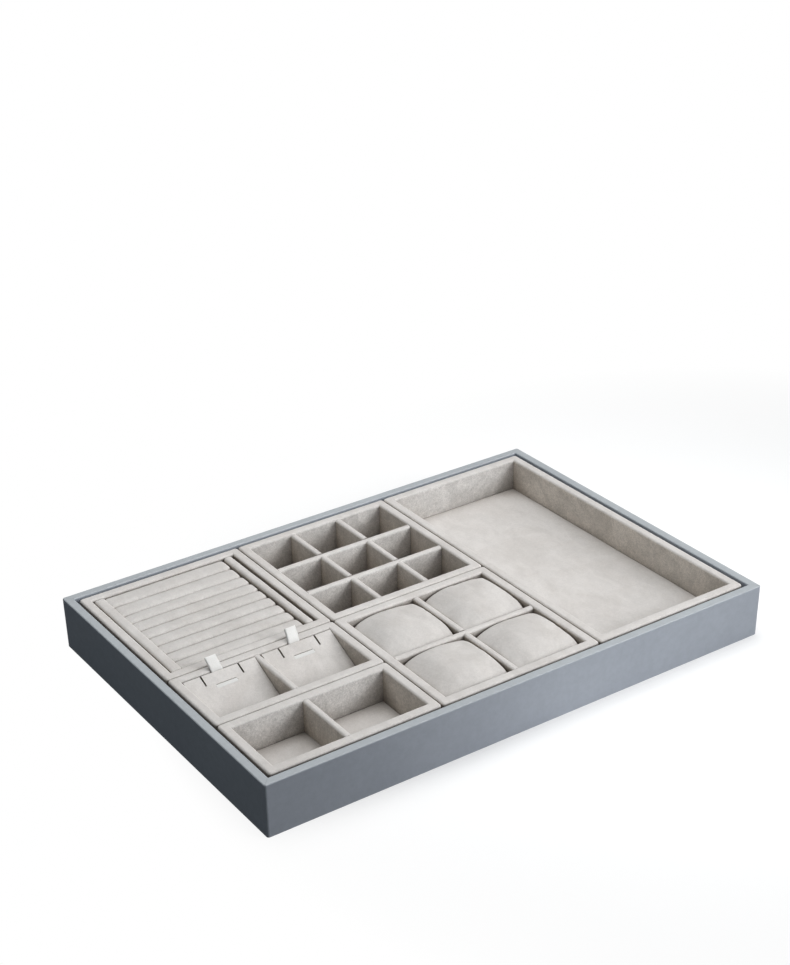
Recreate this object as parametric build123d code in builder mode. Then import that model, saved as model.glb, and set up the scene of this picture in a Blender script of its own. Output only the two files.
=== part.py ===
import os
from math import atan, cos, degrees, sin, radians

from build123d import *

os.makedirs("parts", exist_ok=True)

# Whole tray, origin at the centre of its footprint on the table, long side along X, front towards -Y
tray_length = 540.0
tray_depth = 368.0
tray_height = 52.5

# Tray walls: a board wrapped in leather
leather_thickness = 0.75
tray_board_thickness = 7.1
tray_board_corner = 1.5
tray_board_edge = 0.5
rim_width = tray_board_thickness + 2 * leather_thickness

# Tray base, recessed on the underside
underside_recess = 3.0
base_board_thickness = 8.0
lining_thickness = 0.75
base_top = underside_recess + base_board_thickness
cavity_floor = base_top + lining_thickness
core_length = tray_length - 2 * (leather_thickness + tray_board_thickness)
core_depth = tray_depth - 2 * (leather_thickness + tray_board_thickness)
cavity_length = tray_length - 2 * rim_width
cavity_depth = tray_depth - 2 * rim_width

# Insert modules: three columns and two rows that fill the cavity, 1 mm between neighbours
module_gap = 1.0
block_side_clearance = 3.15
block_front_clearance = 3.4
block_length = cavity_length - 2 * block_side_clearance
block_depth = cavity_depth - 2 * block_front_clearance
module_length = (block_length - 2 * module_gap) / 3
module_depth = (block_depth - module_gap) / 2
half_depth = (module_depth - module_gap) / 2
insert_drop = 0.2
insert_top = tray_height - insert_drop

# Insert walls: a board wrapped in soft suede
suede_thickness = 1.0
insert_board_thickness = 7.3
insert_board_corner = 2.0
insert_board_edge = 1.2
insert_wall = insert_board_thickness + 2 * suede_thickness
insert_base_thickness = 3.5
insert_base_top = cavity_floor + insert_base_thickness

# Padded floor of every insert
pad_thickness = 4.75
pad_clearance = 0.15
pad_edge = 0.9
floor_level = insert_base_top + pad_thickness

# Dividers: a thin board wrapped in suede
divider_thickness = 6.5
divider_drop = 1.0
divider_top = insert_top - divider_drop
divider_edge = 2.4
divider_clearance = 0.15
lap_clearance = 0.1

# Glue line left at every mitre
mitre_gap = 0.1

# Off-centre places of two dividers
two_bay_shift = -3.0
grid_row_shift = -2.2

# Ring insert: two end bars and nine foam rolls
roll_count = 9
wide_roll_count = 2
wide_roll_width = 19.6
roll_gap = 0.2
left_bar_width = 9.8
left_bar_groove = 2.0
right_bar_width = 8.6
right_bar_groove = 3.0
bar_edge = 2.6
bar_top = insert_top - 1.0
roll_top = insert_top - 0.7
roll_crown = 1.3
roll_edge = 3.4
roll_corner = 3.2
roll_left_gap = 0.1
roll_right_gap = 0.8

# Pillow insert
pillow_clearance = 0.6
pillow_rise = 0.4
pillow_top = tray_height + pillow_rise
pillow_bulge = 0.8

# Pendant ramps
ramp_thickness = 2.5
ramp_side_clearance = 0.35
ramp_front_clearance = 0.4
ramp_back_clearance = 1.4
ramp_top = insert_top - 0.3
ramp_edge = 0.8
slot_length = 22.0
slot_width = 4.4
slot_distance = 15.6
slot_pad_clearance = 0.25
slot_pad_sink = 0.1
slit_length = 11.0
slit_width = 1.7
slit_offset = 19.0
wedge_toe = 5.0
wedge_channel = 1.0

# Ribbon pull
ribbon_width = 11.6
ribbon_thickness = 0.4
ribbon_loop_length = 14.6
ribbon_loop_gap = 1.0
ribbon_lean = 38.0
ribbon_tail = 11.0
ribbon_side_clearance = 0.3
ribbon_shift = -1.5

# Places of the modules, by their front left corner
block_left = -block_length / 2
block_front = -block_depth / 2
column_pitch = module_length + module_gap
left_column = block_left
middle_column = block_left + column_pitch
right_column = block_left + 2 * column_pitch
front_row = block_front
second_row = block_front + half_depth + module_gap
back_row = block_front + module_depth + module_gap


def save(part, label):
    part.label = label
    export_step(part, "parts/" + label + ".step")


def wall_ring(centre, length, depth, wall, bottom, top, corner, edge):
    with BuildPart() as ring:
        with BuildSketch(Plane.XY.offset(bottom)):
            with Locations(centre):
                RectangleRounded(length, depth, corner)
                Rectangle(length - 2 * wall, depth - 2 * wall, mode=Mode.SUBTRACT)
        extrude(amount=top - bottom)
        fillet(ring.edges().group_by(Axis.Z)[-1], radius=edge)
    return ring.part


def mitre_places(centre, length, depth, wall):
    places = []
    for sx in (-1, 1):
        for sy in (-1, 1):
            x = centre[0] + sx * (length - wall) / 2
            y = centre[1] + sy * (depth - wall) / 2
            places.append(Location((x, y, 0), (0, 0, 45 * sx * sy)))
    return places


def plain_box(centre, length, depth, bottom, top):
    with BuildPart() as block:
        with BuildSketch(Plane.XY.offset(bottom)):
            with Locations(centre):
                Rectangle(length, depth)
        extrude(amount=top - bottom)
    return block.part


def soft_pad(centre, length, depth, bottom, top, edge):
    with BuildPart() as pad:
        with BuildSketch(Plane.XY.offset(bottom)):
            with Locations(centre):
                Rectangle(length, depth)
        extrude(amount=top - bottom)
        fillet(pad.edges().group_by(Axis.Z)[-1], radius=edge)
    return pad.part


# Tray wall boards, mitred at the four corners
tray_core = wall_ring(
    (0, 0),
    tray_length - 2 * leather_thickness,
    tray_depth - 2 * leather_thickness,
    tray_board_thickness,
    leather_thickness,
    tray_height - leather_thickness,
    tray_board_corner,
    tray_board_edge,
)
tray_mitres = mitre_places((0, 0), tray_length, tray_depth, rim_width)
mitre_cut_length = 3 * rim_width

with BuildPart() as tray_wall_boards:
    add(tray_core)
    with Locations(*tray_mitres):
        Box(mitre_cut_length, mitre_gap, 3 * tray_height, mode=Mode.SUBTRACT)
save(tray_wall_boards.part, "tray_wall_boards")

# Leather over the rim, turned in under the lower edge
tray_shell = wall_ring(
    (0, 0),
    tray_length,
    tray_depth,
    rim_width,
    0,
    tray_height,
    tray_board_corner + leather_thickness,
    tray_board_edge + leather_thickness,
)
tray_inside = plain_box((0, 0), core_length, core_depth, -1, base_top)

with BuildPart() as tray_leather:
    add(tray_shell)
    add(tray_core, mode=Mode.SUBTRACT)
    add(tray_inside, mode=Mode.SUBTRACT)
    with Locations(*tray_mitres):
        Box(mitre_cut_length, mitre_gap, 3 * tray_height, mode=Mode.SUBTRACT)
save(tray_leather.part, "tray_leather")

# Tray base board, its cover and its lining
tray_base_board = plain_box((0, 0), core_length, core_depth, underside_recess, base_top)
save(tray_base_board, "tray_base_board")
cover_bottom = underside_recess - leather_thickness
tray_bottom_cover = plain_box((0, 0), core_length, core_depth, cover_bottom, underside_recess)
save(tray_bottom_cover, "tray_bottom_cover")
tray_lining = plain_box((0, 0), cavity_length, cavity_depth, base_top, cavity_floor)
save(tray_lining, "tray_lining")


# One insert box: mitred boards, base, suede wrap and floor pad
def insert_box(name, left, front, length, depth):
    centre = (left + length / 2, front + depth / 2)
    core_ring = wall_ring(
        centre,
        length - 2 * suede_thickness,
        depth - 2 * suede_thickness,
        insert_board_thickness,
        cavity_floor,
        insert_top - suede_thickness,
        insert_board_corner,
        insert_board_edge,
    )
    inside_length = length - 2 * (suede_thickness + insert_board_thickness)
    inside_depth = depth - 2 * (suede_thickness + insert_board_thickness)
    mitres = mitre_places(centre, length, depth, insert_wall)
    with BuildPart() as boards:
        add(core_ring)
        with Locations(*mitres):
            Box(3 * insert_wall, mitre_gap, 3 * tray_height, mode=Mode.SUBTRACT)
    save(boards.part, name + "_wall_boards")
    shell = wall_ring(
        centre,
        length,
        depth,
        insert_wall,
        cavity_floor,
        insert_top,
        insert_board_corner + suede_thickness,
        insert_board_edge + suede_thickness,
    )
    inside = plain_box(centre, inside_length, inside_depth, cavity_floor - 1, insert_base_top)
    with BuildPart() as suede:
        add(shell)
        add(core_ring, mode=Mode.SUBTRACT)
        add(inside, mode=Mode.SUBTRACT)
    save(suede.part, name + "_suede_wrap")
    base = plain_box(centre, inside_length, inside_depth, cavity_floor, insert_base_top)
    save(base, name + "_base_board")
    pad_length = length - 2 * insert_wall - 2 * pad_clearance
    pad_depth = depth - 2 * insert_wall - 2 * pad_clearance
    pad = soft_pad(centre, pad_length, pad_depth, insert_base_top, floor_level, pad_edge)
    save(pad, name + "_floor_pad")


insert_box("ring_insert", left_column, back_row, module_length, module_depth)
insert_box("pendant_insert", left_column, second_row, module_length, half_depth)
insert_box("two_bay_insert", left_column, front_row, module_length, half_depth)
insert_box("grid_insert", middle_column, back_row, module_length, module_depth)
insert_box("pillow_insert", middle_column, front_row, module_length, module_depth)
insert_box("open_insert", right_column, front_row, module_length, block_depth)


# Dividers: upright strips with a rounded top edge, and half laps where two cross
def divider(label, centre, span, along_x, lap_places, lap_from_top):
    length = span if along_x else divider_thickness
    depth = divider_thickness if along_x else span
    lap_length = divider_thickness + 2 * lap_clearance
    half_height = (divider_top - floor_level) / 2
    if lap_from_top:
        lap_z = divider_top
    else:
        lap_z = floor_level
    with BuildPart() as strip:
        with BuildSketch(Plane.XY.offset(floor_level)):
            with Locations(centre):
                Rectangle(length, depth)
        extrude(amount=divider_top - floor_level)
        long_axis = Axis.X if along_x else Axis.Y
        fillet(strip.edges().filter_by(long_axis).group_by(Axis.Z)[-1], radius=divider_edge)
        for place in lap_places:
            x = place if along_x else centre[0]
            y = centre[1] if along_x else place
            with Locations((x, y, lap_z)):
                Box(
                    lap_length if along_x else 2 * divider_thickness,
                    2 * divider_thickness if along_x else lap_length,
                    2 * half_height + lap_clearance,
                    mode=Mode.SUBTRACT,
                )
    save(strip.part, label)


inner_length = module_length - 2 * insert_wall
inner_depth = module_depth - 2 * insert_wall
long_span = inner_depth - 2 * divider_clearance
cross_span = inner_length - 2 * divider_clearance

# Two bays: one plain divider
bay_centre = (left_column + module_length / 2 + two_bay_shift, front_row + half_depth / 2)
bay_span = half_depth - 2 * insert_wall - 2 * divider_clearance
divider("two_bay_divider", bay_centre, bay_span, False, [], True)

# Grid of nine cells
grid_centre = (middle_column + module_length / 2, back_row + module_depth / 2)
pitch_x = (inner_length + divider_thickness) / 3
pitch_y = (inner_depth + divider_thickness) / 3
grid_x = [grid_centre[0] - pitch_x / 2, grid_centre[0] + pitch_x / 2]
grid_row = grid_centre[1] + grid_row_shift
grid_y = [grid_row - pitch_y / 2, grid_row + pitch_y / 2]
for number, place in enumerate(grid_x):
    label = "grid_long_divider_" + str(number + 1)
    divider(label, (place, grid_centre[1]), long_span, False, grid_y, True)
for number, place in enumerate(grid_y):
    label = "grid_cross_divider_" + str(number + 1)
    divider(label, (grid_centre[0], place), cross_span, True, grid_x, False)

# Pillow insert: one long and one cross divider
pillow_centre = (middle_column + module_length / 2, front_row + module_depth / 2)
divider("pillow_long_divider", pillow_centre, long_span, False, [pillow_centre[1]], True)
divider("pillow_cross_divider", pillow_centre, cross_span, True, [pillow_centre[0]], False)


# Pillow: sections that fill the cell and round over to a crown
def pillow_section(centre, height, a, b, bulge):
    with BuildSketch(Plane((centre[0], centre[1], height))) as section:
        with BuildLine():
            ThreePointArc((-a, -b), (0, -b - bulge), (a, -b))
            ThreePointArc((a, -b), (a + bulge, 0), (a, b))
            ThreePointArc((a, b), (0, b + bulge), (-a, b))
            ThreePointArc((-a, b), (-a - bulge, 0), (-a, -b))
        make_face()
    return section.sketch


def pillow(label, centre):
    thickness = pillow_top - floor_level
    wx = pillow_cell_x / 2 - pillow_clearance
    wy = pillow_cell_y / 2 - pillow_clearance
    shares = (
        (0.0, 0.9, pillow_bulge / 4),
        (0.12, 0.97, -pillow_bulge / 4),
        (0.36, 1.0, -pillow_bulge / 2),
        (0.6, 0.99, -pillow_bulge / 2),
        (0.78, 0.93, pillow_bulge / 4),
        (0.885, 0.82, pillow_bulge),
        (0.945, 0.68, pillow_bulge),
        (0.98, 0.5, pillow_bulge),
        (0.995, 0.33, pillow_bulge),
        (1.0, 0.16, pillow_bulge / 2),
    )
    faces = []
    for rise, width, bulge in shares:
        height = floor_level + rise * thickness
        faces.append(pillow_section(centre, height, width * wx, width * wy, bulge))
    with BuildPart() as cushion:
        loft(faces)
    save(cushion.part, label)


pillow_cell_x = (inner_length - divider_thickness) / 2
pillow_cell_y = (inner_depth - divider_thickness) / 2
pillow_pitch_x = pillow_cell_x + divider_thickness
pillow_pitch_y = pillow_cell_y + divider_thickness
pillow_number = 0
for sy in (-1, 1):
    for sx in (-1, 1):
        pillow_number = pillow_number + 1
        x = pillow_centre[0] + sx * pillow_pitch_x / 2
        place = (x, pillow_centre[1] + sy * pillow_pitch_y / 2)
        pillow("pillow_" + str(pillow_number), place)

# Ring insert: end bars
ring_centre = (left_column + module_length / 2, back_row + module_depth / 2)
left_bar_x = ring_centre[0] - inner_length / 2 + left_bar_groove + left_bar_width / 2
right_bar_x = ring_centre[0] + inner_length / 2 - right_bar_groove - right_bar_width / 2
bars = (
    ("ring_bar_left", left_bar_x, left_bar_width),
    ("ring_bar_right", right_bar_x, right_bar_width),
)
for label, x, width in bars:
    with BuildPart() as bar:
        with BuildSketch(Plane.XY.offset(floor_level)):
            with Locations((x, ring_centre[1])):
                Rectangle(width, long_span)
        extrude(amount=bar_top - floor_level)
        fillet(bar.edges().group_by(Axis.Z)[-1], radius=bar_edge)
    save(bar.part, label)

# Ring insert: foam rolls from the back wall to the front wall, the first two wider
roll_left = left_bar_x + left_bar_width / 2 + roll_left_gap
roll_right = right_bar_x - right_bar_width / 2 - roll_right_gap
roll_field = inner_depth - 2 * divider_clearance
narrow_roll_width = (roll_field - wide_roll_count * wide_roll_width) / (roll_count - wide_roll_count)
roll_back = ring_centre[1] + roll_field / 2
for number in range(roll_count):
    pitch = wide_roll_width if number < wide_roll_count else narrow_roll_width
    w = (pitch - roll_gap) / 2
    middle = roll_back - pitch / 2
    roll_back = roll_back - pitch
    with BuildPart() as roll:
        with BuildSketch(Plane.YZ.offset(roll_left)):
            with BuildLine():
                Line((middle - w, floor_level), (middle + w, floor_level))
                Line((middle + w, floor_level), (middle + w, roll_top - roll_crown))
                ThreePointArc(
                    (middle + w, roll_top - roll_crown),
                    (middle, roll_top),
                    (middle - w, roll_top - roll_crown),
                )
                Line((middle - w, roll_top - roll_crown), (middle - w, floor_level))
            make_face()
        extrude(amount=roll_right - roll_left)
        fillet(roll.edges().filter_by(Axis.Z), radius=roll_corner)
        crown_edges = roll.edges().filter_by_position(Axis.Z, roll_top - roll_crown - 0.01, roll_top + 0.01)
        fillet(crown_edges, radius=roll_edge * 0.8)
    save(roll.part, "ring_roll_" + str(number + 1))

# Pendant insert: divider between the two ramps
pendant_centre = (left_column + module_length / 2, second_row + half_depth / 2)
divider("pendant_divider", pendant_centre, bay_span, False, [], True)

# Pendant ramps: a sloping card, the foam wedge under it, a pad in the card's slot and a ribbon pull
bay_width = (inner_length - divider_thickness) / 2
bay_offset = (bay_width + divider_thickness) / 2
ramp_width = bay_width - 2 * ramp_side_clearance
ramp_front = second_row + insert_wall + ramp_front_clearance
ramp_back = second_row + half_depth - insert_wall - ramp_back_clearance
ramp_run = ramp_back - ramp_front
ramp_angle = atan((ramp_top - floor_level - ramp_thickness) / ramp_run)
card_drop = ramp_thickness / cos(ramp_angle)
ramp_angle = atan((ramp_top - floor_level - card_drop) / ramp_run)
card_low = floor_level + card_drop
slope = (ramp_top - card_low) / ramp_run


def card_plane(x):
    down = (0, -cos(ramp_angle), -sin(ramp_angle))
    normal = (0, -sin(ramp_angle), cos(ramp_angle))
    return Plane(origin=(x, ramp_back, ramp_top), x_dir=down, z_dir=normal)


def ramp(number, x):
    left = x - ramp_width / 2
    with BuildPart() as card:
        with BuildSketch(Plane.YZ.offset(left)):
            with BuildLine():
                Polyline(
                    (ramp_front, floor_level),
                    (ramp_front, card_low),
                    (ramp_back, ramp_top),
                    (ramp_back, ramp_top - card_drop),
                    close=True,
                )
            make_face()
        extrude(amount=ramp_width)
        upper_back = card.edges().filter_by(Axis.X).sort_by(Axis.Z)[-1]
        fillet(upper_back, radius=ramp_edge)
        with BuildSketch(card_plane(x)):
            with Locations((slot_distance, 0)):
                SlotOverall(slot_length, slot_width, rotation=90)
            with Locations((slit_length / 2, slit_offset), (slit_length / 2, -slit_offset)):
                Rectangle(slit_length + 2, slit_width)
        extrude(amount=3 * ramp_thickness, both=True, mode=Mode.SUBTRACT)
    save(card.part, "pendant_card_" + str(number))

    # White pad that fills the slot, on top of the wedge
    with BuildPart() as slot_pad:
        with BuildSketch(card_plane(x).offset(-ramp_thickness)):
            with Locations((slot_distance, 0)):
                pad_slot_length = slot_length - 2 * slot_pad_clearance
                pad_slot_width = slot_width - 2 * slot_pad_clearance
                SlotOverall(pad_slot_length, pad_slot_width, rotation=90)
        extrude(amount=ramp_thickness - slot_pad_sink)
    save(slot_pad.part, "pendant_slot_pad_" + str(number))

    toe = ramp_front + wedge_toe
    under_back = ramp_top - card_drop
    with BuildPart() as wedge:
        with BuildSketch(Plane.YZ.offset(left)):
            with BuildLine():
                Polyline(
                    (toe, floor_level),
                    (toe, floor_level + slope * wedge_toe),
                    (ramp_back, under_back),
                    (ramp_back, floor_level),
                    close=True,
                )
            make_face()
        extrude(amount=ramp_width)
        channel_left = x + ribbon_shift - ribbon_width / 2 - ribbon_side_clearance
        with BuildSketch(Plane.YZ.offset(channel_left)):
            with BuildLine():
                Polyline(
                    (ramp_back + 1, under_back + slope + 1),
                    (ramp_back + 1, under_back + slope - wedge_channel),
                    (ramp_back - ribbon_tail - 1, under_back - slope * (ribbon_tail + 1) - wedge_channel),
                    (ramp_back - ribbon_tail - 1, under_back - slope * (ribbon_tail + 1) + 1),
                    close=True,
                )
            make_face()
        extrude(amount=ribbon_width + 2 * ribbon_side_clearance, mode=Mode.SUBTRACT)
    save(wedge.part, "pendant_wedge_" + str(number))

    # Ribbon: flat loop that leans back, a short riser behind the card, and a tail under the card
    ribbon_left = x + ribbon_shift - ribbon_width / 2
    riser_front = ramp_back + 0.1
    riser_back = riser_front + 2 * ribbon_thickness
    loop_height = ribbon_loop_gap + 2 * ribbon_thickness
    loop_centre = ribbon_loop_length / 2
    lean = radians(ribbon_lean)
    loop_y = (riser_front + riser_back) / 2 + loop_centre * sin(lean)
    loop_z = ramp_top - ribbon_thickness + loop_centre * cos(lean)
    tail_low = under_back - slope * ribbon_tail
    with BuildPart() as ribbon:
        with BuildSketch(Plane.YZ.offset(ribbon_left)):
            with Locations(Location((loop_y, loop_z, 0), (0, 0, 90 - ribbon_lean))):
                SlotOverall(ribbon_loop_length, loop_height)
                SlotOverall(ribbon_loop_length - 2 * ribbon_thickness, ribbon_loop_gap, mode=Mode.SUBTRACT)
            with BuildLine():
                Polyline(
                    (riser_front, ramp_top),
                    (riser_back, ramp_top),
                    (riser_back, under_back - ribbon_thickness),
                    (riser_front, under_back - ribbon_thickness),
                    close=True,
                )
            make_face()
            with BuildLine():
                Polyline(
                    (riser_back, under_back + slope * (riser_back - ramp_back) - 0.05),
                    (riser_back, under_back - ribbon_thickness),
                    (ramp_back - ribbon_tail, tail_low - ribbon_thickness),
                    (ramp_back - ribbon_tail, tail_low),
                    (ramp_back, under_back),
                    close=True,
                )
            make_face()
        extrude(amount=ribbon_width)
    save(ribbon.part, "pendant_ribbon_" + str(number))


ramp(1, pendant_centre[0] - bay_offset)
ramp(2, pendant_centre[0] + bay_offset)
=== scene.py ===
import math

import bmesh
import bpy
import numpy as np
from mathutils import Matrix, Vector, noise


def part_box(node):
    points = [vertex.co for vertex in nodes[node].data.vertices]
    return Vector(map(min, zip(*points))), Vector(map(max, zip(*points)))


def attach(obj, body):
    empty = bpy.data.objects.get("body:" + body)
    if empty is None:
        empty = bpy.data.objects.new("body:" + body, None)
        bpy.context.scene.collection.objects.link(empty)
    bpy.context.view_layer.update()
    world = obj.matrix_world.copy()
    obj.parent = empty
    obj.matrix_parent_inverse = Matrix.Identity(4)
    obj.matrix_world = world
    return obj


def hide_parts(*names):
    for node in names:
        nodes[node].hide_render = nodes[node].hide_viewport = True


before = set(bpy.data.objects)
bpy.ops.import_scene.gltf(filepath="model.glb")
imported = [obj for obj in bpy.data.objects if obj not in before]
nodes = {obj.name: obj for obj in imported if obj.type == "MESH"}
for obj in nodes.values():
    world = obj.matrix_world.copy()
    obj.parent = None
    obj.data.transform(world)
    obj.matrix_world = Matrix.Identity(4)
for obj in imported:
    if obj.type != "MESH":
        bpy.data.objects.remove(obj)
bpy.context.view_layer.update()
scene = bpy.context.scene
MM = 0.001

INSERTS = ("ring_insert", "pendant_insert", "two_bay_insert", "grid_insert", "pillow_insert", "open_insert")
ROLL_COUNT = 9
PILLOW_COUNT = 4


# Shader helpers
def shader(name, rough, base):
    m = bpy.data.materials.new(name)
    m.use_nodes = True
    tree = m.node_tree
    tree.nodes.clear()
    out = tree.nodes.new("ShaderNodeOutputMaterial")
    b = tree.nodes.new("ShaderNodeBsdfPrincipled")
    tree.links.new(b.outputs[0], out.inputs[0])
    b.inputs["Base Color"].default_value = (*base, 1)
    b.inputs["Roughness"].default_value = rough
    return m, tree, b


def add_node(tree, kind, **settings):
    n = tree.nodes.new(kind)
    for key, value in settings.items():
        setattr(n, key, value)
    return n


def feed(tree, socket, value):
    """Links a socket to an output, or sets it to a colour or number."""
    if hasattr(value, "links"):
        tree.links.new(value, socket)
    elif isinstance(value, tuple):
        socket.default_value = (*value, 1)
    else:
        socket.default_value = value


def noise_tex(tree, scale, detail, rough, distortion=0.0, stretch=None):
    place = add_node(tree, "ShaderNodeTexCoord").outputs["Object"]
    if stretch:
        mapping = add_node(tree, "ShaderNodeMapping")
        mapping.inputs["Scale"].default_value = stretch
        tree.links.new(place, mapping.inputs["Vector"])
        place = mapping.outputs[0]
    n = add_node(tree, "ShaderNodeTexNoise")
    n.inputs["Scale"].default_value = scale
    n.inputs["Detail"].default_value = detail
    n.inputs["Roughness"].default_value = rough
    n.inputs["Distortion"].default_value = distortion
    tree.links.new(place, n.inputs["Vector"])
    return n.outputs["Fac"]


def cells_tex(tree, scale, feature="F1"):
    n = add_node(tree, "ShaderNodeTexVoronoi", feature=feature)
    n.inputs["Scale"].default_value = scale
    tree.links.new(add_node(tree, "ShaderNodeTexCoord").outputs["Object"], n.inputs["Vector"])
    return n.outputs[0]


def ramp(tree, amount, *stops):
    """A colour for each amount: every stop is a position with a colour, or with a grey level."""
    r = add_node(tree, "ShaderNodeValToRGB")
    elements = r.color_ramp.elements
    while len(elements) > 1:
        elements.remove(elements[-1])
    for number, (position, colour) in enumerate(stops):
        stop = elements.new(position) if number else elements[0]
        stop.position = position
        stop.color = (*(colour if isinstance(colour, tuple) else (colour,) * 3), 1)
    tree.links.new(amount, r.inputs[0])
    return r.outputs[0]


def mix_rgb(tree, kind, amount, a, b):
    m = add_node(tree, "ShaderNodeMix", data_type="RGBA", blend_type=kind)
    factor, first, second, result = m.inputs[0], m.inputs[6], m.inputs[7], m.outputs[2]
    for socket, value in ((factor, amount), (first, a), (second, b)):
        feed(tree, socket, value)
    return result


def multiply(tree, colour, by, amount=1.0):
    return mix_rgb(tree, "MULTIPLY", amount, colour, by)


def math_node(tree, operation, *values):
    m = add_node(tree, "ShaderNodeMath", operation=operation)
    for socket, value in zip(m.inputs, values):
        feed(tree, socket, value)
    return m.outputs[0]


def map_range(tree, amount, start, end, low, high):
    n = add_node(tree, "ShaderNodeMapRange")
    for socket, value in zip(n.inputs, (amount, start, end, low, high)):
        feed(tree, socket, value)
    return n.outputs[0]


def mix_shader(tree, amount, a, b):
    m = add_node(tree, "ShaderNodeMixShader")
    for socket, value in zip(m.inputs, (amount, a, b)):
        feed(tree, socket, value)
    return m.outputs[0]


def bump(tree, height, strength, distance, over=None):
    n = add_node(tree, "ShaderNodeBump")
    n.inputs["Strength"].default_value = strength
    n.inputs["Distance"].default_value = distance
    tree.links.new(height, n.inputs["Height"])
    if over is not None:
        tree.links.new(over, n.inputs["Normal"])
    return n.outputs[0]


def facing(tree):
    """How far a face looks along X, and how upright it is: 0 for a level face, 1 for a wall."""
    geometry = add_node(tree, "ShaderNodeNewGeometry")
    parts = add_node(tree, "ShaderNodeSeparateXYZ")
    tree.links.new(geometry.outputs["Normal"], parts.inputs[0])
    level = math_node(tree, "ABSOLUTE", parts.outputs[2])
    return parts.outputs[0], math_node(tree, "SUBTRACT", 1.0, level)


# Suede: brushed patches and a fine nap, grainier on upright faces; painted light makes upright faces paler,
# and painted shade makes faces that look left warmer and darker and darkens close corners
def make_suede(name, tone):
    m, t, b = shader(name, rough=0.92, base=(0.6, 0.57, 0.53))
    b.inputs["Specular IOR Level"].default_value = 0.15
    b.inputs["Sheen Weight"].default_value = 0.12
    b.inputs["Sheen Roughness"].default_value = 0.55
    b.inputs["Sheen Tint"].default_value = (0.95, 0.93, 0.9, 1)
    dark_pile, pile, light_pile = (0.567, 0.54, 0.517), (0.6, 0.575, 0.554), (0.62, 0.597, 0.577)
    # Painted light: upright faces paler; painted shade: faces that look left warmer and darker
    upright_painted_light, left_face_painted_shade = (1.215, 1.235, 1.25), (0.953, 0.894, 0.82)
    # Painted shade for close corners: its darkest colour, a part-way colour, and how far it reaches
    corner_shade_deep, corner_shade_mid, corner_shade_reach = (0.3, 0.265, 0.235), (0.74, 0.715, 0.69), 45 * MM

    patches = noise_tex(t, scale=26, detail=3, rough=0.6, distortion=0.6)
    patches = ramp(t, patches, (0.34, dark_pile), (0.5, pile), (0.64, light_pile))
    strokes = noise_tex(t, scale=60, detail=3, rough=0.6, distortion=1.2, stretch=(1.0, 0.5, 1.0))
    strokes = ramp(t, strokes, (0.38, 0.955), (0.62, 1.02))
    grain = ramp(t, noise_tex(t, scale=1150, detail=3, rough=0.7), (0.3, 0.76), (0.7, 1.18))
    mottle = ramp(t, noise_tex(t, scale=420, detail=4, rough=0.75), (0.32, 0.82), (0.68, 1.12))
    stains = noise_tex(t, scale=34, detail=4, rough=0.6, distortion=0.8)
    stains = ramp(t, stains, (0.34, 0.84), (0.6, 1.04))

    along_x, upright = facing(t)
    grain_amount = math_node(t, "MULTIPLY_ADD", upright, 0.7, 0.28)
    nap = multiply(t, patches, strokes)
    nap = multiply(t, nap, grain, grain_amount)
    nap = multiply(t, nap, mottle, grain_amount)
    # Upright faces: painted light makes them paler, then the stains
    wall = multiply(t, multiply(t, nap, upright_painted_light), stains)
    # Painted shade: faces that look left are made warmer and darker
    left_shade_amount = math_node(t, "MAXIMUM", math_node(t, "MULTIPLY", along_x, -1.0), 0.0)
    wall = multiply(t, wall, left_face_painted_shade, left_shade_amount)
    colour = mix_rgb(t, "MIX", upright, nap, wall)

    # Painted shade: the colour is darkened where surfaces close in around it
    close = add_node(t, "ShaderNodeAmbientOcclusion", samples=8)
    close.inputs["Distance"].default_value = corner_shade_reach
    painted_corner_shade = ramp(t, close.outputs["AO"], (0.16, corner_shade_deep), (0.4, corner_shade_mid), (0.66, 1.0))
    colour = multiply(t, colour, painted_corner_shade)
    colour = multiply(t, colour, (tone, tone, tone))
    t.links.new(colour, b.inputs["Base Color"])

    fibres = bump(t, noise_tex(t, scale=1700, detail=2, rough=0.6), strength=0.35, distance=0.25 * MM)
    waves = noise_tex(t, scale=90, detail=2, rough=0.5, distortion=0.5)
    t.links.new(bump(t, waves, strength=0.12, distance=0.8 * MM, over=fibres), b.inputs["Normal"])
    return m


# Leather: fine even grain, satin, and painted light that makes upright faces a little darker and bluer
def make_leather():
    m, t, b = shader("leather", rough=0.46, base=(0.37, 0.41, 0.44))
    b.inputs["Specular IOR Level"].default_value = 0.42
    dark_hide, light_hide, upright_painted_light = (0.375, 0.402, 0.425), (0.405, 0.434, 0.454), (0.95, 0.965, 1.045)

    colour = ramp(t, noise_tex(t, scale=7, detail=2, rough=0.5), (0.35, dark_hide), (0.65, light_hide))
    pores = ramp(t, noise_tex(t, scale=160, detail=4, rough=0.65), (0.35, 0.95), (0.65, 1.03))
    colour = multiply(t, colour, pores)
    _, upright = facing(t)
    # Painted light: upright faces a little darker in red and green and a little bluer
    colour = multiply(t, colour, upright_painted_light, upright)
    t.links.new(colour, b.inputs["Base Color"])

    grain = bump(t, cells_tex(t, scale=1300, feature="DISTANCE_TO_EDGE"), strength=0.16, distance=0.14 * MM)
    waves = noise_tex(t, scale=220, detail=3, rough=0.6)
    t.links.new(bump(t, waves, strength=0.05, distance=0.4 * MM, over=grain), b.inputs["Normal"])
    gloss = noise_tex(t, scale=35, detail=3, rough=0.6)
    t.links.new(map_range(t, gloss, 0.0, 1.0, low=0.36, high=0.46), b.inputs["Roughness"])
    return m


def make_satin(name, low, high):
    m, t, b = shader(name, rough=0.38, base=high)
    b.inputs["Sheen Weight"].default_value = 0.2
    weave = noise_tex(t, scale=900, detail=2, rough=0.5, stretch=(6.0, 1.0, 1.0))
    t.links.new(ramp(t, weave, (0.3, low), (0.7, high)), b.inputs["Base Color"])
    t.links.new(bump(t, weave, strength=0.2, distance=0.1 * MM), b.inputs["Normal"])
    return m


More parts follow.
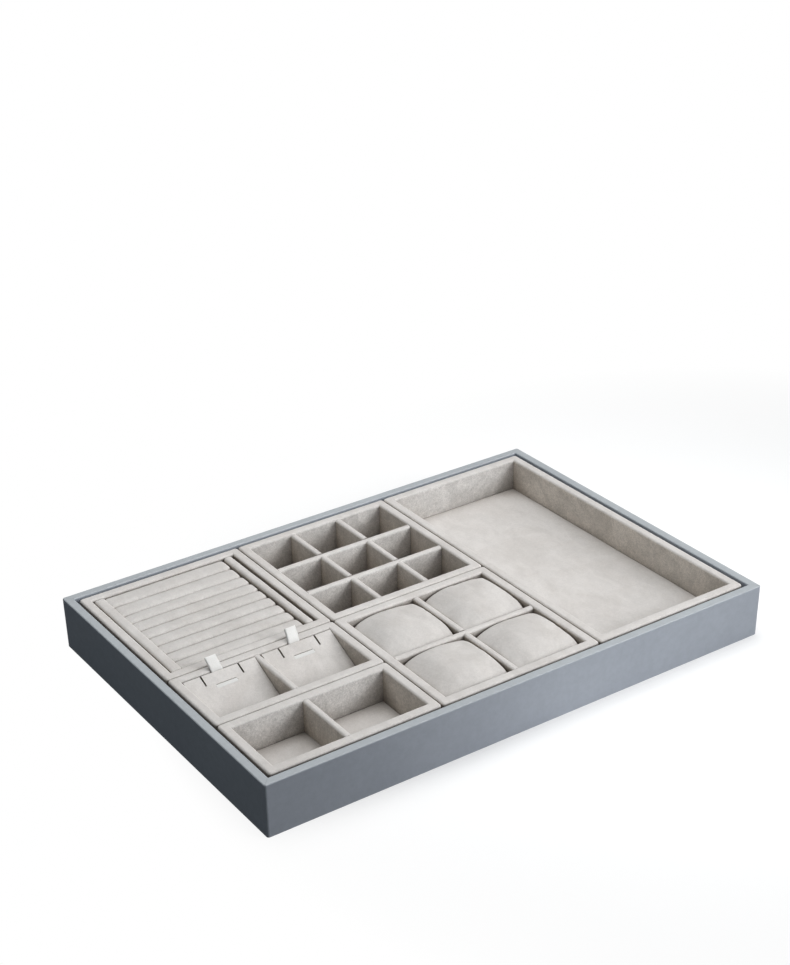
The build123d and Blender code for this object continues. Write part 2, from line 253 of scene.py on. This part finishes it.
def make_cloth(name, low, high, scale):
    m, t, b = shader(name, rough=0.9, base=high)
    colour = ramp(t, noise_tex(t, scale, detail=4, rough=0.65), (0.35, low), (0.65, high))
    t.links.new(colour, b.inputs["Base Color"])
    threads = noise_tex(t, scale * 2, detail=2, rough=0.5)
    t.links.new(bump(t, threads, strength=0.4, distance=0.2 * MM), b.inputs["Normal"])
    return m


def make_board():
    m, t, b = shader("fibreboard", rough=0.85, base=(0.42, 0.31, 0.21))
    dark_fibre, light_fibre = (0.34, 0.245, 0.16), (0.5, 0.38, 0.265)
    colour = ramp(t, noise_tex(t, scale=700, detail=4, rough=0.7), (0.3, dark_fibre), (0.7, light_fibre))
    t.links.new(colour, b.inputs["Base Color"])
    fibres = noise_tex(t, scale=900, detail=3, rough=0.6)
    t.links.new(bump(t, fibres, strength=0.3, distance=0.2 * MM), b.inputs["Normal"])
    return m


# Foam: near black, so the slits in the card above it show dark: painted shade
def make_foam():
    m, t, b = shader("foam", rough=0.95, base=(0.03, 0.03, 0.032))
    cells = cells_tex(t, scale=1100)
    colour = ramp(t, cells, (0.0, (0.045, 0.045, 0.048)), (0.8, (0.02, 0.02, 0.022)))
    t.links.new(colour, b.inputs["Base Color"])
    t.links.new(bump(t, cells, strength=0.5, distance=0.3 * MM), b.inputs["Normal"])
    return m


SUEDE = make_suede("suede", tone=1.0)
SUEDE_SOFT = make_suede("suede_soft", tone=0.955)
LEATHER = make_leather()
SATIN = make_satin("ribbon_satin", (0.7, 0.695, 0.68), (0.78, 0.775, 0.76))
# The slot pads' satin is a darker copy of the ribbon's: painted shade for the pads sunk in the card's slots
SLOT_SATIN_PAINTED_SHADE = make_satin("slot_satin_painted_shade", (0.56, 0.555, 0.54), (0.62, 0.615, 0.6))
LINING = make_cloth("lining", (0.10, 0.105, 0.11), (0.15, 0.155, 0.16), scale=500)
COVER = make_cloth("bottom_felt", (0.16, 0.17, 0.18), (0.24, 0.25, 0.265), scale=350)
BOARD = make_board()
FOAM = make_foam()


def node_material(name):
    if name == "tray_leather":
        return LEATHER
    if name == "tray_lining":
        return LINING
    if name == "tray_bottom_cover":
        return COVER
    if name.endswith(("_wall_boards", "base_board")):
        return BOARD
    if name.startswith("pendant_wedge"):
        return FOAM
    if name.startswith(("pendant_ribbon", "pendant_slot_pad")):
        return SATIN
    return SUEDE


for name, o in nodes.items():
    o.data.materials.clear()
    o.data.materials.append(node_material(name))


# Mesh helpers
def make_object(name, points, faces, mat, smooth=True):
    me = bpy.data.meshes.new(name)
    me.from_pydata([tuple(p) for p in points], [], faces)
    me.validate()
    me.materials.append(mat)
    if smooth:
        me.polygons.foreach_set("use_smooth", [True] * len(me.polygons))
    o = bpy.data.objects.new(name, me)
    scene.collection.objects.link(o)
    return o


def dress(o, body, node):
    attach(o, body)
    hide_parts(node)


def ticks(length, r, step, corner_ticks=4):
    """Places along a side, close together within the radius at each end."""
    inner = max(2, int(round((length - 2 * r) / step)) + 1)
    near = np.linspace(0, r, corner_ticks, endpoint=False)
    middle = np.linspace(r, length - r, inner, endpoint=False)
    far = np.linspace(length - r, length, corner_ticks + 1)
    return np.concatenate([near, middle, far])


def box_grid(tx, ty, tz):
    """Points and faces of a closed box that is cut at the ticks of each side."""
    index, points, faces = {}, [], []

    def at(i, j, k):
        if (i, j, k) not in index:
            index[i, j, k] = len(points)
            points.append((tx[i], ty[j], tz[k]))
        return index[i, j, k]

    nx, ny, nz = len(tx) - 1, len(ty) - 1, len(tz) - 1
    for i in range(nx):
        for j in range(ny):
            faces.append((at(i, j, nz), at(i + 1, j, nz), at(i + 1, j + 1, nz), at(i, j + 1, nz)))
            faces.append((at(i, j, 0), at(i, j + 1, 0), at(i + 1, j + 1, 0), at(i + 1, j, 0)))
    for k in range(nz):
        for i in range(nx):
            faces.append((at(i, 0, k), at(i + 1, 0, k), at(i + 1, 0, k + 1), at(i, 0, k + 1)))
            faces.append((at(i, ny, k), at(i, ny, k + 1), at(i + 1, ny, k + 1), at(i + 1, ny, k)))
        for j in range(ny):
            faces.append((at(0, j, k), at(0, j, k + 1), at(0, j + 1, k + 1), at(0, j + 1, k)))
            faces.append((at(nx, j, k), at(nx, j + 1, k), at(nx, j + 1, k + 1), at(nx, j, k + 1)))
    return np.array(points), faces


def round_edges(p, size, r, square_left):
    """Rounds the upright and upper edges of a box; square_left keeps those at its left side sharp."""
    core = np.clip(p, [0 if square_left else r, r, 0], [size[0] - r, size[1] - r, size[2] - r])
    out = p - core
    distance = np.linalg.norm(out, axis=1)
    outside = distance > 1e-12
    p[outside] = core[outside] + out[outside] / distance[outside, None] * r
    return p


def rumple(p, height, lo, size, uneven, wave, seed):
    """Moves the points by smooth noise: up and down, and a little inwards at the sides."""
    fine_wave, side_share, sink = 2.7, 0.4, 0.7
    moved = []
    for q, w in zip(p, height):
        at = Vector((q[0] + lo[0], q[1] + lo[1], q[2] + seed)) * wave
        fade = min(1.0, w * 3)
        lift = noise.noise(at) + 0.5 * noise.noise(at * fine_wave + Vector((5, 9, 2)))
        push = [noise.noise(at + Vector((31, 7, 3))), noise.noise(at + Vector((3, 17, 23)))]
        inward = [-abs(push[n] * uneven * side_share * fade) * np.sign(q[n] - size[n] / 2) for n in (0, 1)]
        moved.append(q + lo + np.array([*inward, lift * uneven * fade - sink * uneven]))
    return moved


def soft_block(name, lo, hi, r, step, mat, crown, uneven, wave, seed, ends=None, square_left=False):
    """A padded block: flat underneath, rounded above, a little crowned and uneven."""
    lo, hi = np.array(lo, float), np.array(hi, float)
    size = hi - lo
    side_ticks, shoulder_ticks, crown_power = 5, 5, 2.5
    sides = np.linspace(0, size[2] - r, side_ticks, endpoint=False)
    shoulders = np.linspace(size[2] - r, size[2], shoulder_ticks)
    tx, ty, tz = ticks(size[0], r, step), ticks(size[1], r, step), np.concatenate([sides, shoulders])
    p, faces = box_grid(tx, ty, tz)
    p = round_edges(p, size, r, square_left)
    u = np.clip(2 * p[:, 0] / size[0] - 1, -1, 1)
    v = np.clip(2 * p[:, 1] / size[1] - 1, -1, 1)
    height = np.clip(p[:, 2] / size[2], 0, 1)
    if ends:
        p = ends(p, size)
    middle = (1 - np.abs(u) ** crown_power) * (1 - np.abs(v) ** crown_power)
    p[:, 2] -= crown * height ** 4 * (1 - middle)
    return make_object(name, rumple(p, height, lo, size, uneven, wave, seed), faces, mat)


# Padded floors
for insert in INSERTS:
    node = insert + "_floor_pad"
    lo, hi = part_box(node)
    o = soft_block("soft_" + node, lo, hi, r=1.1 * MM, step=5 * MM, mat=SUEDE,
                   crown=0.35 * MM, uneven=0.16 * MM, wave=45, seed=len(insert))
    dress(o, insert, node)


# Ring insert: end bars and foam rolls
BAR_RAISE = 1.0 * MM
LEFT_BAR_GROWS = (0.9 * MM, 0.36 * MM)

for side, (grow_left, grow_right) in (("left", LEFT_BAR_GROWS), ("right", (0.0, 0.0))):
    node = "ring_bar_" + side
    lo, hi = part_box(node)
    lo, hi = (lo[0] - grow_left, lo[1], lo[2]), (hi[0] + grow_right, hi[1], hi[2] + BAR_RAISE)
    o = soft_block("soft_" + node, lo, hi, r=2.9 * MM, step=4 * MM, mat=SUEDE,
                   crown=0.2 * MM, uneven=0.22 * MM, wave=40, seed=len(side))
    dress(o, "ring_insert", node)


def roll_ends(sag):
    """Lowers a roll at its ends, narrows it at the right one and rounds it across."""
    right_share, left_share = 0.045, 0.02
    right_drop, left_drop, side_drop, narrowing = 1.5 * MM, 0.5 * MM, 0.9 * MM, 2.4 * MM

    def shape(p, size):
        u = p[:, 0] / size[0]
        height = p[:, 2] / size[2]
        right = np.clip((u - (1 - right_share)) / right_share, 0, 1)
        left = np.clip((left_share - u) / left_share, 0, 1)
        p[:, 2] -= (right_drop * right ** 2 * sag + left_drop * left) * height ** 3
        v = 2 * p[:, 1] / size[1] - 1
        p[:, 2] -= side_drop * sag * np.abs(v) ** 3 * height ** 6
        p[:, 1] -= np.sign(v) * np.abs(v) ** 2 * narrowing * right ** 2
        return p
    return shape


for number in range(1, ROLL_COUNT + 1):
    node = f"ring_roll_{number}"
    lo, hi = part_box(node)
    sag = 1.0 + 0.9 * noise.noise(Vector((number * 1.7, 0, 0)))
    o = soft_block("soft_" + node, lo, hi, r=4.0 * MM, step=3 * MM, mat=SUEDE_SOFT,
                   crown=0.4 * MM, uneven=0.3 * MM, wave=28, seed=number * 0.37,
                   ends=roll_ends(sag), square_left=True)
    dress(o, "ring_insert", node)


# Pillows: a formula fills the cell, and small creases come from two sewn panels,
# which cloth simulation blows up at ten times size
PANEL_SIDE = 0.080 * 10
PANEL_CUTS = 34
CLOTH_FRAMES = 24
CLOTH_PRESSURE = 8.0
PILLOW_OVERLAP = 0.3 * MM
PILLOW_EDGE = 3.4 * MM
PILLOW_UNDER_GAP = 0.2 * MM
SEAM_HEIGHT = 40 * MM
SHOULDER_START = 0.8
CORNER_POWER = 9
CROWN_POWER = 2.1

# Heights of the pillows' tops above the ground in mm: at the corners, in the middle of the edges
# and at the centre
FRONT_LEFT, FRONT_RIGHT, BACK_LEFT, BACK_RIGHT = 42.0, 46.5, 42.5, 49.5
LEFT_MIDDLE, LEFT_TO_RIGHT = 45.5, 6.0
FRONT_MIDDLE, FRONT_TO_BACK = 46.0, 5.6
PILLOW_CENTRE = 56.0


def sewn_panels(name, seed):
    """Two panels joined along their edges, and a grid with the numbers of the upper one's points."""
    s, n = PANEL_SIDE, PANEL_CUTS
    puff, gap, waver = 0.02 * s, 0.004 * s, 0.003
    bm = bmesh.new()
    top, bottom = {}, {}
    grid = np.zeros((n + 1, n + 1), int)
    for j in range(n + 1):
        for i in range(n + 1):
            x, y = (i / n - 0.5) * s, (j / n - 0.5) * s
            x += noise.noise(Vector((x * 3 + seed * 7, y * 3, 0))) * s * waver
            y += noise.noise(Vector((x * 3, y * 3 + seed * 5, 3))) * s * waver
            lift = puff * (1 - (2 * i / n - 1) ** 2) * (1 - (2 * j / n - 1) ** 2)
            grid[j, i] = len(bm.verts)
            if i in (0, n) or j in (0, n):
                top[i, j] = bottom[i, j] = bm.verts.new((x, y, 0))
            else:
                top[i, j] = bm.verts.new((x, y, lift + gap))
                bottom[i, j] = bm.verts.new((x, y, -lift - gap))
    for j in range(n):
        for i in range(n):
            bm.faces.new((top[i, j], top[i + 1, j], top[i + 1, j + 1], top[i, j + 1]))
            bm.faces.new((bottom[i, j], bottom[i, j + 1], bottom[i + 1, j + 1], bottom[i + 1, j]))
    me = bpy.data.meshes.new(name)
    bm.to_mesh(me)
    bm.free()
    me.materials.append(SUEDE_SOFT)
    o = bpy.data.objects.new(name, me)
    scene.collection.objects.link(o)
    return o, grid


def blow_up(o):
    cloth = o.modifiers.new("Cloth", "CLOTH")
    c = cloth.settings
    c.quality = 6
    c.mass = 0.4
    c.tension_stiffness = c.compression_stiffness = 20
    c.shear_stiffness = 8
    c.bending_stiffness = 0.6
    c.air_damping = 2
    c.use_pressure = True
    c.uniform_pressure_force = CLOTH_PRESSURE
    c.effector_weights.gravity = 0
    cloth.point_cache.frame_start, cloth.point_cache.frame_end = 1, CLOTH_FRAMES
    for f in range(1, CLOTH_FRAMES + 1):
        scene.frame_set(f)
    dg = bpy.context.evaluated_depsgraph_get()
    co = np.array([v.co for v in o.evaluated_get(dg).data.vertices])
    scene.frame_set(1)
    o.modifiers.remove(cloth)
    return co


def pillow_top(xy):
    """Height of the top above the ground, blended between its corners, edges and centre."""
    f = 1 - np.abs(xy).clip(0, 1) ** CROWN_POWER
    fu, fv = f[:, 0], f[:, 1]
    right, back = (1 + xy[:, 0].clip(-1, 1)) / 2, (1 + xy[:, 1].clip(-1, 1)) / 2
    front_corners = FRONT_LEFT * (1 - right) + FRONT_RIGHT * right
    back_corners = BACK_LEFT * (1 - right) + BACK_RIGHT * right
    corners = front_corners * (1 - back) + back_corners * back
    side_edges = LEFT_MIDDLE + LEFT_TO_RIGHT * right
    long_edges = FRONT_MIDDLE + FRONT_TO_BACK * back
    top = corners * (1 - fu) * (1 - fv) + long_edges * fu * (1 - fv) + side_edges * fv * (1 - fu)
    return (top + PILLOW_CENTRE * fu * fv) * MM


def pillow_creases(xy, co, grid, seed):
    """Small creases: what is uneven in the blown-up panel, a fold at each corner and smooth noise."""
    panel_share, panel_limit = 7 * MM, 1.0 * MM
    fold_width, fold_start, fold_length = 0.16, 0.75, 0.7
    z = co[grid, 2] / np.abs(co[:, 2]).max()
    even = sum(np.rot90(z, k) + np.rot90(z, k).T for k in range(4)) / 8
    crease = np.zeros(len(co))
    crease[grid.ravel()] = np.clip((z - even).ravel() * panel_share, -panel_limit, panel_limit)
    for sx, sy, depth in ((-1, -1, 0.9), (1, -1, 0.55), (-1, 1, 0.4), (1, 1, 0.5)):
        lean = 0.2 * noise.noise(Vector((seed * 3.1, sx * 2.3, sy * 1.7)))
        off = (xy[:, 0] * sx * (1 + lean) - xy[:, 1] * sy * (1 - lean)) / fold_width
        inside = np.clip((xy[:, 0] * sx + xy[:, 1] * sy - fold_start) / fold_length, 0, 1)
        crease -= depth * MM * np.exp(-off ** 2) * inside
    for i, q in enumerate(xy):
        at = Vector((q[0] * 1.7, q[1] * 1.7, seed * 5.3))
        crease[i] += (noise.noise(at) * 0.9 + noise.noise(at * 3.1) * 0.3) * MM
    return crease


def settle(rest, co, grid, lo, hi, seed):
    """Shapes the pillow to its cell: high shoulders, a low seam all round, and its creases."""
    limit = (hi[0] - lo[0]) / 2 + PILLOW_OVERLAP
    uv = np.clip(rest[:, :2] / np.abs(rest[:, :2]).max(), -1, 1)
    r = np.abs(uv).max(axis=1)
    d = np.where(r[:, None] > 1e-4, uv / np.maximum(r, 1e-4)[:, None], (1.0, 0.0))
    corner = (np.abs(d[:, 0]) ** CORNER_POWER + np.abs(d[:, 1]) ** CORNER_POWER) ** (-1 / CORNER_POWER)
    corner = 1 + (corner - 1) * r ** 2
    edge = PILLOW_EDGE / limit
    turn = np.clip((r - SHOULDER_START) / (1 - SHOULDER_START), 0, 1) * np.pi / 2
    reach = np.where(r < SHOULDER_START, r / SHOULDER_START * (1 - edge), 1 - edge + edge * np.sin(turn))
    xy = d * (reach * corner)[:, None]
    over_seam = pillow_top(xy) + pillow_creases(xy, co, grid, seed) - SEAM_HEIGHT
    under_seam = SEAM_HEIGHT - lo[2] - PILLOW_UNDER_GAP
    above = SEAM_HEIGHT + over_seam * np.cos(turn)
    below = SEAM_HEIGHT - under_seam * np.cos(turn) ** 0.5
    centre = (np.array(lo) + np.array(hi))[:2] / 2
    return np.column_stack([xy * limit + centre, np.where(rest[:, 2] >= 0, above, below)])


for number in range(1, PILLOW_COUNT + 1):
    node = f"pillow_{number}"
    lo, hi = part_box(node)
    o, grid = sewn_panels("soft_" + node, number)
    rest = np.array([v.co for v in o.data.vertices])
    co = settle(rest, blow_up(o), grid, lo, hi, number)
    o.data.vertices.foreach_set("co", co.astype(np.float32).ravel())
    o.data.polygons.foreach_set("use_smooth", [True] * len(o.data.polygons))
    o.data.update()
    finer = o.modifiers.new("Subdivision", "SUBSURF")
    finer.levels = finer.render_levels = 1
    dress(o, node, node)


# Pendant ramps: foam wedge, slot pad and ribbon pull
CARD_THICKNESS = 2.5 * MM
SLOT_PAD_SIZE = (21.8 * MM, 4.2 * MM, 2.8 * MM)
SLOT_FROM_BACK = 15.6 * MM
RIBBON_WIDTH = 11.4 * MM
RIBBON_THICKNESS = 0.25 * MM
RIBBON_LEAN = math.radians(38)
RIBBON_SWAY = {1: -2.0 * MM, 2: 1.2 * MM}
RIBBON_TWIST = 0.3 * MM
RIBBON_CUP = 0.25 * MM
RIBBON_NARROWING = 0.02
RIBBON_FREE_AT = 12 * MM
RIBBON_CUTS = 8
CURVE_STEPS = 6

# The loop above the card, as mm along it and off its middle
RIBBON_LOOP = (
    (1.2, -0.35), (4.5, -0.85), (8.5, -0.95), (12.2, -0.7), (13.8, -0.1),
    (13.2, 0.6), (9.5, 0.75), (5.0, 0.65), (1.2, 0.35),
)


def card_angle(lo, hi):
    """Slope of a card whose box includes its own thickness, found by a few rounds."""
    run, rise = hi.y - lo.y, hi.z - lo.z
    angle = math.atan((rise - CARD_THICKNESS) / run)
    for _ in range(4):
        angle = math.atan((rise - CARD_THICKNESS / math.cos(angle)) / run)
    return angle


def make_wedge(number, body):
    """The foam wedge, from the solid's own mesh with its edges softened."""
    node = f"pendant_wedge_{number}"
    o = bpy.data.objects.new("soft_" + node, nodes[node].data.copy())
    scene.collection.objects.link(o)
    bevel = o.modifiers.new("Bevel", "BEVEL")
    bevel.width, bevel.segments, bevel.limit_method = 0.25 * MM, 2, "ANGLE"
    dress(o, body, node)


def make_slot_pad(number, body, angle, card_lo, card_hi):
    node = f"pendant_slot_pad_{number}"
    length, width, height = SLOT_PAD_SIZE
    o = soft_block("soft_" + node, (-length / 2, -width / 2, 0), (length / 2, width / 2, height),
                   r=0.45 * MM, step=1 * MM, mat=SLOT_SATIN_PAINTED_SHADE,
                   crown=0.1 * MM, uneven=0.05 * MM, wave=120, seed=number)
    uphill = Vector((0, math.cos(angle), math.sin(angle)))
    normal = Vector((0, -math.sin(angle), math.cos(angle)))
    at = Vector(((card_lo.x + card_hi.x) / 2, card_hi.y, card_hi.z))
    at = at - uphill * SLOT_FROM_BACK - normal * CARD_THICKNESS
    o.data.transform(Matrix((
        (1, 0, 0, at.x),
        (0, uphill.y, normal.y, at.y),
        (0, uphill.z, normal.z, at.z),
        (0, 0, 0, 1),
    )))
    dress(o, body, node)


def catmull(points, steps):
    """A smooth line through the points, with that many steps between each two."""
    pts = [np.array(p, float) for p in points]
    pts = [2 * pts[0] - pts[1]] + pts + [2 * pts[-1] - pts[-2]]
    out = []
    for a, b, c, d in zip(pts, pts[1:], pts[2:], pts[3:]):
        for step in range(steps):
            t = step / steps
            square = (2 * a - 5 * b + 4 * c - d) * t ** 2
            cube = (3 * b - a - 3 * c + d) * t ** 3
            out.append(0.5 * ((2 * b) + (c - a) * t + square + cube))
    out.append(pts[-2])
    return np.array(out)


def ribbon_path(angle, back, top):
    """The ribbon's line in Y and Z: the tail under the card, up behind it, the loop and back down."""
    slope = math.tan(angle)
    under = top - CARD_THICKNESS / math.cos(angle)
    tail_mm = ((10.5, 0.3), (5, 0.3), (0.8, 0.25))
    tail = [(back - y * MM, under - slope * y * MM - gap * MM) for y, gap in tail_mm]
    rise = [(back + 0.3 * MM, under + 0.3 * MM), (back + 0.32 * MM, top - 0.8 * MM)]
    y0, z0 = back + 0.5 * MM, top - 0.2 * MM
    sin, cos = math.sin(RIBBON_LEAN), math.cos(RIBBON_LEAN)
    loop = [(y0 + (sin * s + cos * off) * MM, z0 + (cos * s - sin * off) * MM) for s, off in RIBBON_LOOP]
    end = [(back + 0.72 * MM, top - 1.0 * MM), (back + 0.72 * MM, under - 0.1 * MM)]
    return catmull(tail + rise + loop + end, CURVE_STEPS)


def make_ribbon(number, body, angle, card_hi):
    node = f"pendant_ribbon_{number}"
    lo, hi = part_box(node)
    centre = (lo.x + hi.x) / 2
    line = ribbon_path(angle, card_hi.y, card_hi.z)
    across = np.linspace(-1, 1, RIBBON_CUTS + 1)
    points, faces = [], []
    for (y, z), free in zip(line, np.clip((line[:, 1] - card_hi.z) / RIBBON_FREE_AT, 0, 1)):
        for a in across:
            cup = RIBBON_CUP * (1 - a * a) * free
            points.append((
                centre + a * RIBBON_WIDTH / 2 * (1 - RIBBON_NARROWING * free) + RIBBON_SWAY[number] * free,
                y - cup * math.cos(RIBBON_LEAN) + RIBBON_TWIST * free * a,
                z + cup * math.sin(RIBBON_LEAN),
            ))
    n = len(across)
    for i in range(len(line) - 1):
        for j in range(n - 1):
            faces.append((i * n + j, i * n + j + 1, (i + 1) * n + j + 1, (i + 1) * n + j))
    o = make_object("satin_" + node, points, faces, SATIN)
    thick = o.modifiers.new("Solidify", "SOLIDIFY")
    thick.thickness, thick.offset = RIBBON_THICKNESS, 0
    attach(o, body)
    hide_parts(node)


for number in (1, 2):
    body = f"pendant_ramp_{number}"
    card_lo, card_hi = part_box(f"pendant_card_{number}")
    angle = card_angle(card_lo, card_hi)
    make_wedge(number, body)
    make_slot_pad(number, body, angle, card_lo, card_hi)
    make_ribbon(number, body, angle, card_hi)


# Floor: keeps the tray's shadow near it and is plain white further out; how much light it sends back
# changes from left to right
def make_floor():
    half_side = 6
    shadow_centre, shadow_end, white_start = (0.3, -0.16, 0), 0.36, 0.6
    m = bpy.data.materials.new("floor")
    m.use_nodes = True
    t = m.node_tree
    t.nodes.clear()
    out = add_node(t, "ShaderNodeOutputMaterial")
    rays = add_node(t, "ShaderNodeLightPath")
    place = add_node(t, "ShaderNodeTexCoord").outputs["Object"]
    parts = add_node(t, "ShaderNodeSeparateXYZ")
    t.links.new(place, parts.inputs[0])
    away = add_node(t, "ShaderNodeVectorMath", operation="DISTANCE")
    t.links.new(place, away.inputs[0])
    away.inputs[1].default_value = shadow_centre
    lit = add_node(t, "ShaderNodeBsdfDiffuse")
    lit.inputs[0].default_value = (0.98, 0.98, 0.98, 1)
    white = add_node(t, "ShaderNodeEmission")
    white.inputs[0].default_value = (1, 1, 1, 1)
    plain = map_range(t, away.outputs["Value"], shadow_end, white_start, low=0.12, high=1.0)
    shown = mix_shader(t, plain, lit.outputs[0], white.outputs[0])
    bounce = add_node(t, "ShaderNodeBsdfDiffuse")
    to_right = math_node(t, "ADD", parts.outputs[0], 0.5)
    t.links.new(ramp(t, to_right, (0.34, 0.03), (0.54, 0.6), (0.72, 0.32)), bounce.inputs[0])
    seen = math_node(t, "MAXIMUM", rays.outputs["Is Camera Ray"], rays.outputs["Is Transmission Ray"])
    t.links.new(mix_shader(t, seen, bounce.outputs[0], shown), out.inputs[0])
    corners = [(-half_side, -half_side, 0), (half_side, -half_side, 0),
               (half_side, half_side, 0), (-half_side, half_side, 0)]
    make_object("floor", corners, [(0, 1, 2, 3)], m, smooth=False)


make_floor()


# Lights: a wide one overhead, and a soft key light from the front right
def add_light(name, kind, place, target, power):
    d = bpy.data.lights.new(name, kind)
    d.energy = power
    o = bpy.data.objects.new(name, d)
    scene.collection.objects.link(o)
    o.location = place
    o.rotation_mode = "QUATERNION"
    o.rotation_quaternion = (Vector(target) - Vector(place)).to_track_quat("-Z", "Y")
    return d


overhead = add_light("overhead", "AREA", (0.15, 0.15, 1.8), (0, 0, 0), power=24.3)
overhead.shape, overhead.size = "SQUARE", 1.5
key = add_light("key", "SPOT", (1.0, -1.35, 0.78), (0.07, 0.0, 0.0), power=106)
key.shadow_soft_size, key.spot_size, key.spot_blend = 0.48, math.radians(42), 1.0


# World: dim and bluish on the left, brighter on the right, and plain white to the camera
def make_world():
    world = bpy.data.worlds.new("world")
    scene.world = world
    world.use_nodes = True
    t = world.node_tree
    t.nodes.clear()
    out = add_node(t, "ShaderNodeOutputWorld")
    rays = add_node(t, "ShaderNodeLightPath")
    parts = add_node(t, "ShaderNodeSeparateXYZ")
    t.links.new(add_node(t, "ShaderNodeTexCoord").outputs["Generated"], parts.inputs[0])
    to_right = math_node(t, "MULTIPLY_ADD", parts.outputs[0], 0.5, 0.5)
    ambient = add_node(t, "ShaderNodeBackground")
    ambient.inputs[1].default_value = 0.8
    t.links.new(ramp(t, to_right, (0.2, (0.225, 0.25, 0.262)), (0.75, 0.42), (1.0, 0.5)), ambient.inputs[0])
    plain = add_node(t, "ShaderNodeBackground")
    plain.inputs[0].default_value = (1, 1, 1, 1)
    seen = rays.outputs["Is Camera Ray"]
    t.links.new(mix_shader(t, seen, ambient.outputs[0], plain.outputs[0]), out.inputs[0])


make_world()
scene.view_settings.view_transform = "Standard"

# Camera at the photograph's view; sizes in pixels are those of its 790 x 965 frame
PHOTO_WIDTH, PHOTO_HEIGHT = 790, 965
FOCAL_PIXELS = 1813
AXIS_X, AXIS_Y = 345, 672
SENSOR_MM = 36
CAMERA_PLACE = (-0.8361, -1.2081, 0.9027)
AZIMUTH, ELEVATION, ROLL = math.radians(32.23), math.radians(32.54), math.radians(-2.04)


def make_camera():
    cam = bpy.data.cameras.new("camera")
    cam.sensor_fit = "AUTO"
    cam.sensor_width = SENSOR_MM
    cam.lens = FOCAL_PIXELS / PHOTO_HEIGHT * SENSOR_MM
    cam.shift_x = (PHOTO_WIDTH / 2 - AXIS_X) / PHOTO_HEIGHT
    cam.shift_y = (AXIS_Y - PHOTO_HEIGHT / 2) / PHOTO_HEIGHT
    cam.clip_start, cam.clip_end = 0.05, 50
    ahead = Vector((
        math.sin(AZIMUTH) * math.cos(ELEVATION),
        math.cos(AZIMUTH) * math.cos(ELEVATION),
        -math.sin(ELEVATION),
    ))
    level = Vector((math.cos(AZIMUTH), -math.sin(AZIMUTH), 0))
    upright = level.cross(ahead)
    right = level * math.cos(ROLL) + upright * math.sin(ROLL)
    up = upright * math.cos(ROLL) - level * math.sin(ROLL)
    o = bpy.data.objects.new("camera", cam)
    scene.collection.objects.link(o)
    rows = [(right[n], up[n], -ahead[n], CAMERA_PLACE[n]) for n in range(3)]
    o.matrix_world = Matrix((*rows, (0, 0, 0, 1)))
    scene.camera = o


make_camera()
